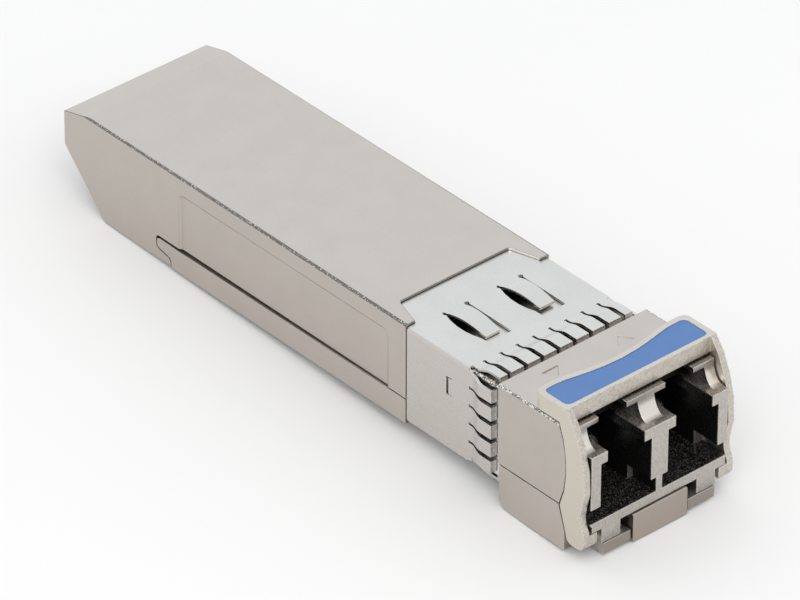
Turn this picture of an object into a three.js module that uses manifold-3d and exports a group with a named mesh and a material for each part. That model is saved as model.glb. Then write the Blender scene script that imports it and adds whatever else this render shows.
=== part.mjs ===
// Pluggable duplex-LC optical transceiver module with a pull-down bail, in millimetres, +Z up.
// The ports face -Y, the card edge faces +Y and X is the width.
// Every part is drawn from two datums: y = 0 is the positive stop at the back of the nose, and z = 0 is
// the underside of the body that slides into a cage. The exported group then moves the whole model so
// that its origin is the middle of the bottom of its bounding box.
import * as THREE from 'three';
import { mergeVertices } from 'three/addons/utils/BufferGeometryUtils.js';
import Module from 'manifold-3d';

const wasm = await Module();
wasm.setup();

// ---------------------------------------------------------------- driving dimensions
// Body
const BODY_HALF_WIDTH = 6.75;
const BODY_TOP = 8.45;
const BODY_REAR = 47.5;
const SHELL_FRONT = 9.65;
const PARTING = 2.06;
const PARTING_GAP = 0.07;
const CORE_HALF_WIDTH = 6.47;
const CORE_TOP = 8.01;
const CORE_BOTTOM = 0.36;
const CAVITY_HALF_WIDTH = 5.95;
const CAVITY_TOP = 7.6;
const CAVITY_FRONT = 0.6;
const TRAY_FLOOR = 0.9;
const CORE_FLOOR = 1.0;
const CORE_CAVITY_HALF_WIDTH = 5.8;
const CORE_CAVITY_TOP = 6.9;
const CORE_CAVITY_END = 12;

// Nose
const NOSE_HALF_WIDTH = 7.0;
const NOSE_TOP = 8.8;
const NOSE_REAR = -0.3;
const CHIN_REAR = -0.5;
const CHIN_FRONT = -7.3;
const CHIN_BOTTOM = -1.58;

// Room for the receptacle inside the nose
const BLOCK_ROOM_HALF_WIDTH = 6.45;
const BLOCK_ROOM_REAR = -1.2;
const BLOCK_ROOM_BOTTOM = 0.57;
const BLOCK_ROOM_TOP = 8.0;
const WALL_ROOM_BOTTOM = 1.33;
const ROOF_FRONT = -5.2;

// Receptacle
const FACE = -9.32;
const BLOCK_HALF_WIDTH = 6.4;
const BLOCK_REAR = -1.25;
const BLOCK_BOTTOM = 0.62;
const PORT_FLOOR = 1.4;
const PORT_INNER = 0.775;
const PORT_OUTER = 5.52;
const PORT_END = -2.2;
const SHOULDER_BOTTOM = 6.15;
const SHOULDER_TOP = 7.03;
const SHOULDER_REAR = -5.4;
const CAP_BOTTOM = 8.42;
const CAP_TOP = 8.84;
const CAP_FRONT = -7.79;
const OPTICAL_X = 3.125;
const OPTICAL_Z = 3.75;

// Collar
const SHEET = 0.2;
const COLLAR_HALF_WIDTH = 6.7;
const COLLAR_TOP = 8.25;
const COLLAR_BOTTOM = 0.12;
const FINGER_ROOT = 2.75;
const FINGER_CREST_REAR = 1.45;
const FINGER_CREST_FRONT = 0.55;
const FINGER_TIP = 0.5;
const FINGER_PITCH = 1.523;
const FINGER_SLOT = 0.2;
const FINGER_TAPER = 0.09;
const FINGER_BULGE = 0.34;
const SIDE_FINGER_CENTRE = 4.3;
const SLOT_END_RADIUS = 0.19;
const TAB_X = 2.54;
const TAB_OFFSET = -0.1;
const TAB_ROOT = 9.1;
const TAB_TIP = 5.1;
const TAB_WINDOW_HALF_WIDTH = 1.1;
const TAB_WINDOW_FRONT = 4.48;
const TAB_RELIEF = 0.36;

// Bail
const BAIL_HALF_WIDTH = 7.05;
const BAIL_INSIDE = 6.5;
const BAIL_TOP = 10.35;
const BAIL_BAR_BOTTOM = 9.0;
const BAIL_AXIS = { y: -8.3, z: 0.05 };
const LUG_INSIDE = 5.75;

// Latch
const LATCH_AXIS = { y: -3.2, z: -0.25 };
const PLATE_FRONT = -9.5;
const PLATE_BACK = -9.0;
const PLATE_HALF_WIDTH = 2.56;
const PLATE_BOTTOM = -1.875;
const PLATE_TOP = 0.53;
const BOSS_HALF_WIDTH = 1.3;
const BOSS_BOTTOM = -0.4;
const LATCH_SHOULDER = 2.1;
const LATCH_CHANNEL_HALF_WIDTH = 2.66;
const ARM_CHANNEL_HALF_WIDTH = 1.5;

// Circuit board
const BOARD_BOTTOM = 2.25;
const BOARD_TOP = 3.25;
const BOARD_FRONT = 9.9;
const BOARD_REAR = 43.9;
const BOARD_HALF_WIDTH = 5.6;
const EDGE_HALF_WIDTH = 4.6;
const CONTACT_PITCH = 0.8;

// Smoothness
const CURVE_STEPS = 5;
const ROUND_STEPS = 20;

// ---------------------------------------------------------------- materials
const metal = (color, roughness, metalness = 1) => (
  new THREE.MeshStandardMaterial({ color, roughness, metalness })
);
const castNickel = metal(0xbdb5ac, 0.38);
const receptacleNickel = metal(0xa8a09a, 0.42);
const springSheet = metal(0xd4d6d1, 0.28);
const bailNickel = metal(0xd0cbc0, 0.4);
const leverNickel = metal(0xaea69e, 0.4);
const blueInsert = metal(0x5f83c4, 0.5, 0);
const steel = metal(0xb8babd, 0.25);
const springSteel = metal(0x9a9c9f, 0.3);
const goldPlate = metal(0xd9a441, 0.25);
const boardGreen = metal(0x1f5a3a, 0.55, 0);
const flexAmber = metal(0xc27a22, 0.5, 0);
const chipBlack = metal(0x1b1c1e, 0.6, 0);
const ceramicWhite = metal(0xece8df, 0.3, 0);
const capacitorTan = metal(0xa98a63, 0.5, 0);
const padGrey = metal(0x8f96a3, 0.8, 0);
const absorberBlack = metal(0x2a2a2c, 0.85, 0);
const retainerBlack = metal(0x242527, 0.6, 0);

// ---------------------------------------------------------------- solid helpers
const X_AXIS = new THREE.Vector3(1, 0, 0);
const Y_AXIS = new THREE.Vector3(0, 1, 0);
const Z_AXIS = new THREE.Vector3(0, 0, 1);

// A closed three.js geometry becomes a solid that can be joined and cut.
function toSolid(geometry) {
  const bare = geometry.clone();
  bare.deleteAttribute('normal');
  bare.deleteAttribute('uv');
  const merged = mergeVertices(bare, 1e-5);
  const index = merged.index.array;
  const triangles = [];
  for (let i = 0; i < index.length; i += 3) {
    const [a, b, c] = [index[i], index[i + 1], index[i + 2]];
    if (a !== b && b !== c && c !== a) triangles.push(a, b, c);
  }
  return new wasm.Manifold(new wasm.Mesh({
    numProp: 3,
    vertProperties: new Float32Array(merged.attributes.position.array),
    triVerts: new Uint32Array(triangles),
  }));
}

function toGeometry(solid) {
  const mesh = solid.getMesh();
  const geometry = new THREE.BufferGeometry();
  geometry.setAttribute('position', new THREE.BufferAttribute(mesh.vertProperties, 3));
  geometry.setIndex(new THREE.BufferAttribute(mesh.triVerts, 1));
  geometry.computeVertexNormals();
  return geometry;
}

const join = (first, ...others) => others.reduce((sum, other) => sum.add(other), first);
const cut = (first, ...tools) => tools.reduce((rest, tool) => rest.subtract(tool), first);

// A closed outline from [u, v] corners. A third number rounds the corner off from that far away.
function outline(corners) {
  const shape = new THREE.Shape();
  const point = (i) => new THREE.Vector2(...corners[(i + corners.length) % corners.length]);
  corners.forEach(([u, v, setback = 0], i) => {
    const corner = new THREE.Vector2(u, v);
    const reach = (other) => corner.clone().add(other.sub(corner).setLength(setback));
    const start = setback ? reach(point(i - 1)) : corner;
    const end = setback ? reach(point(i + 1)) : corner;
    if (i === 0) shape.moveTo(start.x, start.y);
    else shape.lineTo(start.x, start.y);
    if (setback) shape.quadraticCurveTo(u, v, end.x, end.y);
  });
  return shape;
}

function extrude(shape, depth) {
  return new THREE.ExtrudeGeometry(shape, { depth, bevelEnabled: false, curveSegments: CURVE_STEPS });
}

// A (y, z) outline carried along X.
function alongX(shape, low, high) {
  const turn = new THREE.Matrix4().makeBasis(Y_AXIS, Z_AXIS, X_AXIS).setPosition(low, 0, 0);
  return toSolid(extrude(shape, high - low).applyMatrix4(turn));
}

// An (x, z) outline carried along Y.
function alongY(shape, low, high) {
  const backwards = Y_AXIS.clone().negate();
  const turn = new THREE.Matrix4().makeBasis(X_AXIS, Z_AXIS, backwards).setPosition(0, high, 0);
  return toSolid(extrude(shape, high - low).applyMatrix4(turn));
}

// An (x, y) outline carried along Z.
function alongZ(shape, low, high) {
  return toSolid(extrude(shape, high - low).translate(0, 0, low));
}

function box([x0, x1], [y0, y1], [z0, z1]) {
  const block = new THREE.BoxGeometry(x1 - x0, y1 - y0, z1 - z0);
  return toSolid(block.translate((x0 + x1) / 2, (y0 + y1) / 2, (z0 + z1) / 2));
}

// The same block on both sides: inner and outer are distances from the middle.
function boxPair([inner, outer], ySpan, zSpan) {
  return join(box([inner, outer], ySpan, zSpan), box([-outer, -inner], ySpan, zSpan));
}

function pairX(shape, inner, outer) {
  return join(alongX(shape, inner, outer), alongX(shape, -outer, -inner));
}

function rodX(radius, { y, z }, [x0, x1], steps = ROUND_STEPS) {
  const rod = new THREE.CylinderGeometry(radius, radius, x1 - x0, steps).rotateZ(Math.PI / 2);
  return toSolid(rod.translate((x0 + x1) / 2, y, z));
}

function rodY(radius, { x, z }, [y0, y1], steps = ROUND_STEPS) {
  const rod = new THREE.CylinderGeometry(radius, radius, y1 - y0, steps);
  return toSolid(rod.translate(x, (y0 + y1) / 2, z));
}

function rodZ(radius, { x, y }, [z0, z1], steps = ROUND_STEPS) {
  const rod = new THREE.CylinderGeometry(radius, radius, z1 - z0, steps).rotateX(Math.PI / 2);
  return toSolid(rod.translate(x, y, (z0 + z1) / 2));
}

// A solid of revolution about an optical axis, from [radius, y] points.
function turned(profile, x) {
  const points = profile.map(([radius, y]) => new THREE.Vector2(radius, y));
  return toSolid(new THREE.LatheGeometry(points, ROUND_STEPS).translate(x, 0, OPTICAL_Z));
}

// ---------------------------------------------------------------- shared outlines
// The front edge of the nose's side plate, which the bail's arm follows at a small gap.
function noseFrontCurve(shape, gap) {
  shape.bezierCurveTo(-7.45 - gap, 7.0, -7.65 - gap, 4.3, -6.68 - gap, 2.17);
}

// The S-shaped end where the tray's tongue sits over the cover's toe.
function interlockCorners(gap, top, bottom) {
  return [
    [37.05 + gap, top, 0.4],
    [37.05 + gap, 1.12 - gap, 0.4],
    [35.45 + gap, 0.82 - gap, 0.35],
    [35.42 + gap, bottom],
  ];
}

function roundedSection(halfWidth, bottom, top, radius) {
  return outline([
    [-halfWidth, bottom],
    [halfWidth, bottom],
    [halfWidth, top, radius],
    [-halfWidth, top, radius],
  ]);
}

// Room inside both housings for the receptacle and its thicker back wall.
function receptacleRoom() {
  const blockSpan = [-BLOCK_ROOM_HALF_WIDTH, BLOCK_ROOM_HALF_WIDTH];
  const wallSpan = [-CORE_CAVITY_HALF_WIDTH, CORE_CAVITY_HALF_WIDTH];
  return join(
    box(blockSpan, [-11, BLOCK_ROOM_REAR], [BLOCK_ROOM_BOTTOM, BLOCK_ROOM_TOP]),
    box(wallSpan, [-2, CAVITY_FRONT + 0.5], [WALL_ROOM_BOTTOM, CORE_CAVITY_TOP]),
  );
}

// ---------------------------------------------------------------- cover
const NOTCH_REAR = 12.15;
const SKIRT_BOTTOM = 0.12;
const PANEL_DEPTH = 0.18;
const PANEL_DRAFT = 0.24;

function topShell() {
  const side = outline([
    [SHELL_FRONT, PARTING + PARTING_GAP],
    ...interlockCorners(PARTING_GAP, PARTING + PARTING_GAP, SKIRT_BOTTOM),
    [43.02, SKIRT_BOTTOM],
    [BODY_REAR, 4.84],
    [BODY_REAR, 7.75, 0.12],
    [44.72, BODY_TOP],
    [SHELL_FRONT, BODY_TOP],
  ]);
  const section = roundedSection(BODY_HALF_WIDTH, -1, BODY_TOP, 0.2);
  const blank = alongX(side, -BODY_HALF_WIDTH, BODY_HALF_WIDTH);
  const skin = blank.intersect(alongY(section, SHELL_FRONT, BODY_REAR));
  const notch = alongZ(outline([
    [-6.0, SHELL_FRONT - 0.5],
    [-5.9, SHELL_FRONT, 0.2],
    [-5.15, NOTCH_REAR, 0.3],
    [5.15, NOTCH_REAR, 0.3],
    [5.9, SHELL_FRONT, 0.2],
    [6.0, SHELL_FRONT - 0.5],
  ]), CORE_TOP, BODY_TOP + 1);
  return cut(skin, notch, sidePanels());
}

// Shallow panels in both sides. Their walls slope out from the floor, the cast draft.
function sidePanels() {
  const floor = outline([[11.75, 0], [34.3, 0], [34.3, 6.76, 0.4], [11.75, 6.76, 0.4]]);
  const blank = new THREE.ExtrudeGeometry(floor, {
    depth: 1,
    bevelThickness: PANEL_DEPTH,
    bevelSize: PANEL_DRAFT,
    bevelSegments: 1,
    curveSegments: CURVE_STEPS,
  });
  const panelAt = (x) => {
    const turn = new THREE.Matrix4().makeBasis(Y_AXIS, Z_AXIS, X_AXIS).setPosition(x, 0, 0);
    return toSolid(blank.clone().applyMatrix4(turn));
  };
  return join(panelAt(BODY_HALF_WIDTH), panelAt(-BODY_HALF_WIDTH - 1));
}

// The hollow inside both housings: narrower under the collar, then wide, and open at the rear.
function coverHollow() {
  const coreSpan = [-CORE_CAVITY_HALF_WIDTH, CORE_CAVITY_HALF_WIDTH];
  return join(
    box(coreSpan, [CAVITY_FRONT, CORE_CAVITY_END], [0, CORE_CAVITY_TOP]),
    box([-CAVITY_HALF_WIDTH, CAVITY_HALF_WIDTH], [SHELL_FRONT + 0.8, 46.4], [-1, CAVITY_TOP]),
    box([-6.05, 6.05], [37.2, BODY_REAR + 1], [-1, 5.25]),
  );
}

function trayHollow() {
  const coreSpan = [-CORE_CAVITY_HALF_WIDTH, CORE_CAVITY_HALF_WIDTH];
  return join(
    box(coreSpan, [CAVITY_FRONT, CORE_CAVITY_END], [CORE_FLOOR, 5]),
    box([-4.9, 4.9], [SHELL_FRONT + 0.8, 40], [TRAY_FLOOR, 5]),
  );
}

// Under the collar the cover is smaller by the sheet, with pockets where the collar's tabs spring.
function topCore() {
  const section = roundedSection(CORE_HALF_WIDTH, PARTING + PARTING_GAP, CORE_TOP, 0.45);
  const core = alongY(section, -2, SHELL_FRONT + 0.7);
  const pockets = join(...[-TAB_X, TAB_X].map((x) => (
    box([x - 1.45, x + 0.4], [TAB_TIP + 0.9, TAB_ROOT - 0.1], [7.45, 9])
  )));
  return cut(core, pockets);
}

function topNose() {
  const side = new THREE.Shape();
  side.moveTo(NOSE_REAR, PARTING + PARTING_GAP);
  side.lineTo(NOSE_REAR, NOSE_TOP);
  side.lineTo(-6.5, NOSE_TOP);
  noseFrontCurve(side, 0);
  side.lineTo(-6.66, PARTING + PARTING_GAP);
  const section = roundedSection(NOSE_HALF_WIDTH, 0, NOSE_TOP, 0.2);
  const nose = alongX(side, -NOSE_HALF_WIDTH, NOSE_HALF_WIDTH).intersect(alongY(section, -9, 0));
  const roofCut = box([-BLOCK_ROOM_HALF_WIDTH, BLOCK_ROOM_HALF_WIDTH], [-11, ROOF_FRONT], [7, 10]);
  return cut(nose, roofCut);
}

// Plain arrows beside the bail: out of the module on the transmit side, into it on the receive side.
function directionArrows() {
  const depth = 0.08;
  const transmit = outline([[-3.87, -1.3], [-2.37, -1.3], [-3.12, -2.25]]);
  const receive = outline([[2.4, -2.35], [3.9, -2.35], [3.15, -1.4]]);
  return join(
    alongZ(transmit, NOSE_TOP - depth, NOSE_TOP + 1),
    alongZ(receive, NOSE_TOP - depth, NOSE_TOP + 1),
  );
}

function coverInside() {
  const boardPosts = join(
    boxPair([4.9, 5.5], [13, 14.5], [BOARD_TOP + 0.05, CAVITY_TOP + 0.3]),
    boxPair([4.9, 5.5], [34, 35.5], [BOARD_TOP + 0.05, CAVITY_TOP + 0.3]),
  );
  const heatPedestal = box([-2.6, 2.6], [17.4, 22.6], [4.75, CAVITY_TOP + 0.3]);
  return join(boardPosts, heatPedestal);
}

function topHousing() {
  const outside = cut(join(topShell(), topCore(), topNose()), directionArrows());
  return join(cut(outside, coverHollow(), receptacleRoom()), coverInside());
}

// ---------------------------------------------------------------- tray and chin
function trayShell() {
  const strip = outline([
    [SHELL_FRONT, 0],
    [SHELL_FRONT, PARTING],
    [11.5, PARTING],
    [34.5, PARTING - 0.14],
    ...interlockCorners(0, PARTING - 0.1, 0),
  ]);
  const tail = outline([[35, 0], [35.6, 0], [36.7, 0.55], [36.7, TRAY_FLOOR], [35, TRAY_FLOOR]]);
  const strips = alongX(strip, -BODY_HALF_WIDTH, BODY_HALF_WIDTH);
  return join(strips, alongX(tail, -5.88, 5.88));
}

// Ledges that the board rests on and the lips beside it.
function trayRails() {
  return join(
    boxPair([4.85, 5.65], [CORE_CAVITY_END, 36], [TRAY_FLOOR - 0.1, BOARD_BOTTOM - 0.03]),
    boxPair([5.65, 5.9], [CORE_CAVITY_END, 36], [TRAY_FLOOR - 0.1, 3.0]),
  );
}

function trayCore() {
  const section = outline([
    [-CORE_HALF_WIDTH, CORE_BOTTOM, 0.3],
    [CORE_HALF_WIDTH, CORE_BOTTOM, 0.3],
    [CORE_HALF_WIDTH, PARTING],
    [-CORE_HALF_WIDTH, PARTING],
  ]);
  return alongY(section, -2, SHELL_FRONT + 0.7);
}

function chin() {
  const side = outline([
    [CHIN_REAR, PARTING],
    [-6.62, PARTING],
    [CHIN_FRONT, 0],
    [CHIN_FRONT, CHIN_BOTTOM, 0.15],
    [CHIN_REAR, CHIN_BOTTOM, 1.25],
  ]);
  const feet = outline([[-9.4, -1.61, 0.1], [-7, -1.61], [-7, -0.68], [-9.4, -0.68, 0.06]]);
  return join(alongX(side, -NOSE_HALF_WIDTH, NOSE_HALF_WIDTH), pairX(feet, 2.7, 5.22));
}

// The channel that the latch lever rocks in, and the slots that its pin drops into.
function latchRoom() {
  const { y, z } = LATCH_AXIS;
  const slot = outline([
    [y - 0.34, 2],
    [y - 0.34, z - 0.33, 0.3],
    [y + 0.34, z - 0.33, 0.3],
    [y + 0.34, 2],
  ]);
  return join(
    box([-LATCH_CHANNEL_HALF_WIDTH, LATCH_CHANNEL_HALF_WIDTH], [-11, CHIN_REAR - 1.1], [-3, 1]),
    box([-ARM_CHANNEL_HALF_WIDTH, ARM_CHANNEL_HALF_WIDTH], [-3, 5.5], [-3, 3]),
    alongX(slot, -4.2, 4.2),
  );
}

function bottomHousing() {
  const outside = join(trayShell(), trayCore(), chin());
  return join(cut(outside, trayHollow(), receptacleRoom(), latchRoom()), trayRails());
}

// ---------------------------------------------------------------- LC receptacle
function receptacleBlock() {
  const side = new THREE.Shape();
  side.moveTo(FACE, BLOCK_BOTTOM);
  side.lineTo(BLOCK_REAR, BLOCK_BOTTOM);
  side.lineTo(BLOCK_REAR, 7.95);
  side.lineTo(ROOF_FRONT - 0.05, 7.95);
  side.lineTo(ROOF_FRONT - 0.05, CAP_TOP);
  side.lineTo(CAP_FRONT, CAP_TOP);
  side.lineTo(CAP_FRONT, 8.3);
  side.quadraticCurveTo(-8.05, SHOULDER_TOP, -8.85, SHOULDER_TOP);
  side.lineTo(FACE, SHOULDER_TOP);
  const block = alongX(side, -BLOCK_HALF_WIDTH, BLOCK_HALF_WIDTH);
  const lowerCorners = pairX(outline([[-11, 0], [-7.2, 0], [-7.2, 1.2], [-11, 1.2]]), 6.28, 7);
  const backWall = box([-5.72, 5.72], [BLOCK_REAR - 0.4, 0.5], [PORT_FLOOR, 6.85]);
  return cut(join(block, backWall), lowerCorners);
}

// One port's hollow, made of the plug's room, the shoulders' narrower band and the latch's room above it.
function portHollow(side) {
  const span = (inner, outer) => (side > 0 ? [inner, outer] : [-outer, -inner]);
  const room = span(PORT_INNER, PORT_OUTER);
  return join(
    box(room, [-11, PORT_END], [PORT_FLOOR, SHOULDER_BOTTOM]),
    box(room, [SHOULDER_REAR, PORT_END], [SHOULDER_BOTTOM - 0.1, 7.45]),
    box(span(1.45, 4.93), [-11, PORT_END], [SHOULDER_BOTTOM - 0.1, SHOULDER_TOP + 0.1]),
    box(room, [-11, ROOF_FRONT - 0.6], [SHOULDER_TOP, CAP_BOTTOM]),
    box(span(1.8, 4.45), [-11, ROOF_FRONT + 1], [CAP_BOTTOM - 0.1, 10]),
    box(span(0.28, PORT_INNER + 0.1), [-11, -6.9], [PORT_FLOOR, 2.585]),
    box(span(PORT_OUTER - 0.1, 7), [-11, -6.9], [PORT_FLOOR, 2.585]),
    rodY(1.52, { x: side * OPTICAL_X, z: OPTICAL_Z }, [PORT_END - 0.5, 1]),
  );
}

function lcReceptacle() {
  const leverRelief = box([-2.75, 2.75], [-6.5, 0], [0, 0.9]);
  const pillars = boxPair([3.6, 5.35], [FACE, -7.5], [-0.64, BLOCK_BOTTOM + 0.2]);
  const padLength = [LATCH_AXIS.y - 0.25, LATCH_AXIS.y + 0.25];
  const pinPads = boxPair([2.9, 4.0], padLength, [0.08, BLOCK_BOTTOM + 0.2]);
  const shaftBore = rodX(0.42, BAIL_AXIS, [-7, 7]);
  const block = cut(receptacleBlock(), portHollow(1), portHollow(-1), leverRelief);
  return cut(join(block, pillars, pinPads), shaftBore);
}

// ---------------------------------------------------------------- EMI collar
// A bent strip of the sheet in a local frame: x across it, y along the module, z outwards.
// line runs along its inner face from root to tip as [y, z], and plan trims it as seen from outside.
function bentStrip(line, plan, placement) {
  const outwards = line.slice(1).map(([y, z], i) => {
    const along = new THREE.Vector2(y - line[i][0], z - line[i][1]).normalize();
    return new THREE.Vector2(along.y, -along.x);
  });
  const outer = line.map(([y, z], i) => {
    const before = outwards[Math.max(i - 1, 0)];
    const after = outwards[Math.min(i, outwards.length - 1)];
    const reach = SHEET / (1 + before.dot(after));
    return [y + (before.x + after.x) * reach, z + (before.y + after.y) * reach];
  });
  const width = 20;
  const turn = new THREE.Matrix4().makeBasis(Y_AXIS, Z_AXIS, X_AXIS).setPosition(-width / 2, 0, 0);
  const strip = extrude(outline([...outer, ...line.reverse()]), width).applyMatrix4(turn);
  const trim = extrude(plan, 3).translate(0, 0, -1);
  return toSolid(strip.applyMatrix4(placement)).intersect(toSolid(trim.applyMatrix4(placement)));
}

// The four faces of the collar as placements of the strip's local frame.
const negated = (axis) => axis.clone().negate();
const sideInner = COLLAR_HALF_WIDTH - SHEET;
const onTop = new THREE.Matrix4().setPosition(0, 0, COLLAR_TOP - SHEET);
const underneath = new THREE.Matrix4()
  .makeBasis(negated(X_AXIS), Y_AXIS, negated(Z_AXIS))
  .setPosition(0, 0, COLLAR_BOTTOM + SHEET);
const onRight = new THREE.Matrix4()
  .makeBasis(negated(Z_AXIS), Y_AXIS, X_AXIS)
  .setPosition(sideInner, 0, SIDE_FINGER_CENTRE);
const onLeft = new THREE.Matrix4()
  .makeBasis(Z_AXIS, Y_AXIS, negated(X_AXIS))
  .setPosition(-sideInner, 0, SIDE_FINGER_CENTRE);

// A finger's line: an S-shaped rise, a long flat crest and a steep drop at its tip.
function fingerLine() {
  const line = [[FINGER_ROOT + 0.2, 0]];
  const steps = 7;
  for (let i = 0; i <= steps; i += 1) {
    const t = i / steps;
    const y = FINGER_ROOT + (FINGER_CREST_REAR - FINGER_ROOT) * t;
    line.push([y, FINGER_BULGE * t * t * (3 - 2 * t)]);
  }
  line.push([FINGER_CREST_FRONT, FINGER_BULGE], [FINGER_TIP, -0.02]);
  return line;
}

// Fingers are numbered from the middle outwards, and the last one is cut short at the corner slot.
function fingerPlan(number, limit) {
  const reach = (FINGER_PITCH - FINGER_SLOT) / 2;
  const low = Math.max(number * FINGER_PITCH - reach, -limit);
  const high = Math.min(number * FINGER_PITCH + reach, limit);
  return outline([
    [low, FINGER_ROOT + 1],
    [low, FINGER_ROOT - 0.3],
    [low + FINGER_TAPER, FINGER_CREST_REAR],
    [low + FINGER_TAPER, -1],
    [high - FINGER_TAPER, -1],
    [high - FINGER_TAPER, FINGER_CREST_REAR],
    [high, FINGER_ROOT - 0.3],
    [high, FINGER_ROOT + 1],
  ]);
}

function fingers() {
  const made = [];
  const add = (number, limit, placement) => {
    made.push(bentStrip(fingerLine(), fingerPlan(number, limit), placement));
  };
  for (let number = -4; number <= 4; number += 1) {
    add(number, 6.3, onTop);
    if (Math.abs(number) > 1) add(number, 6.3, underneath);
    if (Math.abs(number) < 3) {
      add(number, 3.55, onRight);
      add(number, 3.55, onLeft);
    }
  }
  return made;
}

// A cantilever tab, narrower than its window, that arches up and comes back down at its tip.
function tab(side, arch, tipLift) {
  const x = side * TAB_X + TAB_OFFSET;
  const line = [[TAB_ROOT + 0.2, 0]];
  const steps = 10;
  for (let i = 0; i <= steps; i += 1) {
    const t = i / steps;
    const rise = arch * Math.sin(3.1 * t ** 0.85) + tipLift * t;
    line.push([TAB_ROOT + (TAB_TIP - TAB_ROOT) * t, rise]);
  }
  const plan = outline([
    [x - 0.87, TAB_ROOT + 1],
    [x - 0.85, TAB_ROOT - 0.4],
    [x - 0.69, TAB_TIP, 0.1],
    [x + 0.69, TAB_TIP, 0.1],
    [x + 0.85, TAB_ROOT - 0.4],
    [x + 0.87, TAB_ROOT + 1],
  ]);
  return bentStrip(line, plan, onTop);
}

// Windows in front of the tabs' roots, bowed out on their left, with a relief hole at each rear corner.
function tabWindows() {
  const [low, high] = [TAB_X - TAB_WINDOW_HALF_WIDTH, TAB_X + TAB_WINDOW_HALF_WIDTH];
  const windows = boxPair([low, high], [TAB_WINDOW_FRONT, TAB_ROOT], [7, 9]);
  const holes = [low, high, -low, -high].map((x) => {
    const towardTab = x - Math.sign(x) * Math.sign(Math.abs(x) - TAB_X) * 0.08;
    return rodZ(SLOT_END_RADIUS, { x: towardTab, y: TAB_ROOT + 0.02 }, [7, 9], 10);
  });
  const reliefs = [low, -high].map((x) => {
    const bow = new THREE.Shape();
    bow.moveTo(x + 0.05, TAB_ROOT);
    bow.quadraticCurveTo(x - 2 * TAB_RELIEF, (TAB_ROOT + TAB_TIP) / 2 - 0.2, x + 0.05, TAB_TIP - 0.1);
    return alongZ(bow, 7, 9);
  });
  return join(windows, ...reliefs, ...holes);
}

// The small lanced tongue in each side: open slots round it but for its foot, and its face set back.
function sideLances() {
  const slots = join(
    box([-8, 8], [5.27, 5.43], [4.8, 6.34]),
    box([-8, 8], [4.84, 5.43], [6.2, 6.34]),
    box([-8, 8], [4.84, 4.92], [4.8, 6.34]),
  );
  const faces = boxPair([COLLAR_HALF_WIDTH - 0.07, 8], [4.9, 5.3], [4.8, 6.25]);
  return join(slots, faces);
}

// Round relief holes where the slots end.
function slotEnds() {
  const holes = [];
  const y = FINGER_ROOT + 0.13;
  for (let number = -4; number < 4; number += 1) {
    const offset = (number + 0.5) * FINGER_PITCH;
    holes.push(rodZ(SLOT_END_RADIUS, { x: offset, y }, [-1, 10], 10));
    if (number >= -2 && number < 2) {
      holes.push(rodX(SLOT_END_RADIUS, { y, z: SIDE_FINGER_CENTRE + offset }, [-8, 8], 10));
    }
  }
  [-1, 1].forEach((side) => {
    holes.push(rodZ(0.31, { x: side * 6.5, y }, [8.0, 9], 8));
    holes.push(rodZ(0.31, { x: side * 6.5, y }, [-1, 0.4], 8));
  });
  return holes;
}

function emiCollar() {
  const ringSection = (inset, radius) => outline([
    [inset - COLLAR_HALF_WIDTH, COLLAR_BOTTOM + inset, radius],
    [COLLAR_HALF_WIDTH - inset, COLLAR_BOTTOM + inset, radius],
    [COLLAR_HALF_WIDTH - inset, COLLAR_TOP - inset, radius],
    [inset - COLLAR_HALF_WIDTH, COLLAR_TOP - inset, radius],
  ]);
  const ring = cut(
    alongY(ringSection(0, 0.35), FINGER_ROOT, SHELL_FRONT - 0.05),
    alongY(ringSection(SHEET, 0.2), -3, 14),
  );
  const tonguePlan = outline([
    [-5.84, 9.4],
    [-5.84, 9.7],
    [-5.1, 12.1, 0.3],
    [5.1, 12.1, 0.3],
    [5.84, 9.7],
    [5.84, 9.4],
  ]);
  const tongue = alongZ(tonguePlan, COLLAR_TOP - SHEET, COLLAR_TOP);
  const latchWindow = box([-1.62, 1.62], [-1, 5.3], [-1, 2]);
  const sheet = cut(join(ring, tongue), tabWindows(), latchWindow, sideLances(), ...slotEnds());
  return join(sheet, ...fingers(), tab(-1, 0.32, 0), tab(1, 0.33, 0.15));
}

// ---------------------------------------------------------------- bail
// Plan of the bail's top: rounded corners and a hollowed back edge. inset shrinks it all round.
function bailPlan(front, inset, backRadius, frontRadius = 0) {
  const side = BAIL_HALF_WIDTH - inset;
  const back = -4.05 - inset;
  const middle = -4.76 - inset * 0.92;
  const shoulder = 5.4;
  const shape = new THREE.Shape();
  shape.moveTo(-side + frontRadius, front);
  shape.lineTo(side - frontRadius, front);
  shape.quadraticCurveTo(side, front, side, front + frontRadius);
  shape.lineTo(side, back - backRadius);
  shape.quadraticCurveTo(side, back, side - backRadius, back);
  shape.lineTo(shoulder, back);
  shape.bezierCurveTo(4.4, back, 2.6, middle, 0, middle);
  shape.bezierCurveTo(-2.6, middle, -4.4, back, -shoulder, back);
  shape.lineTo(-side + backRadius, back);
  shape.quadraticCurveTo(-side, back, -side, back - backRadius);
  shape.lineTo(-side, front + frontRadius);
  shape.quadraticCurveTo(-side, front, -side + frontRadius, front);
  return shape;
}

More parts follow.
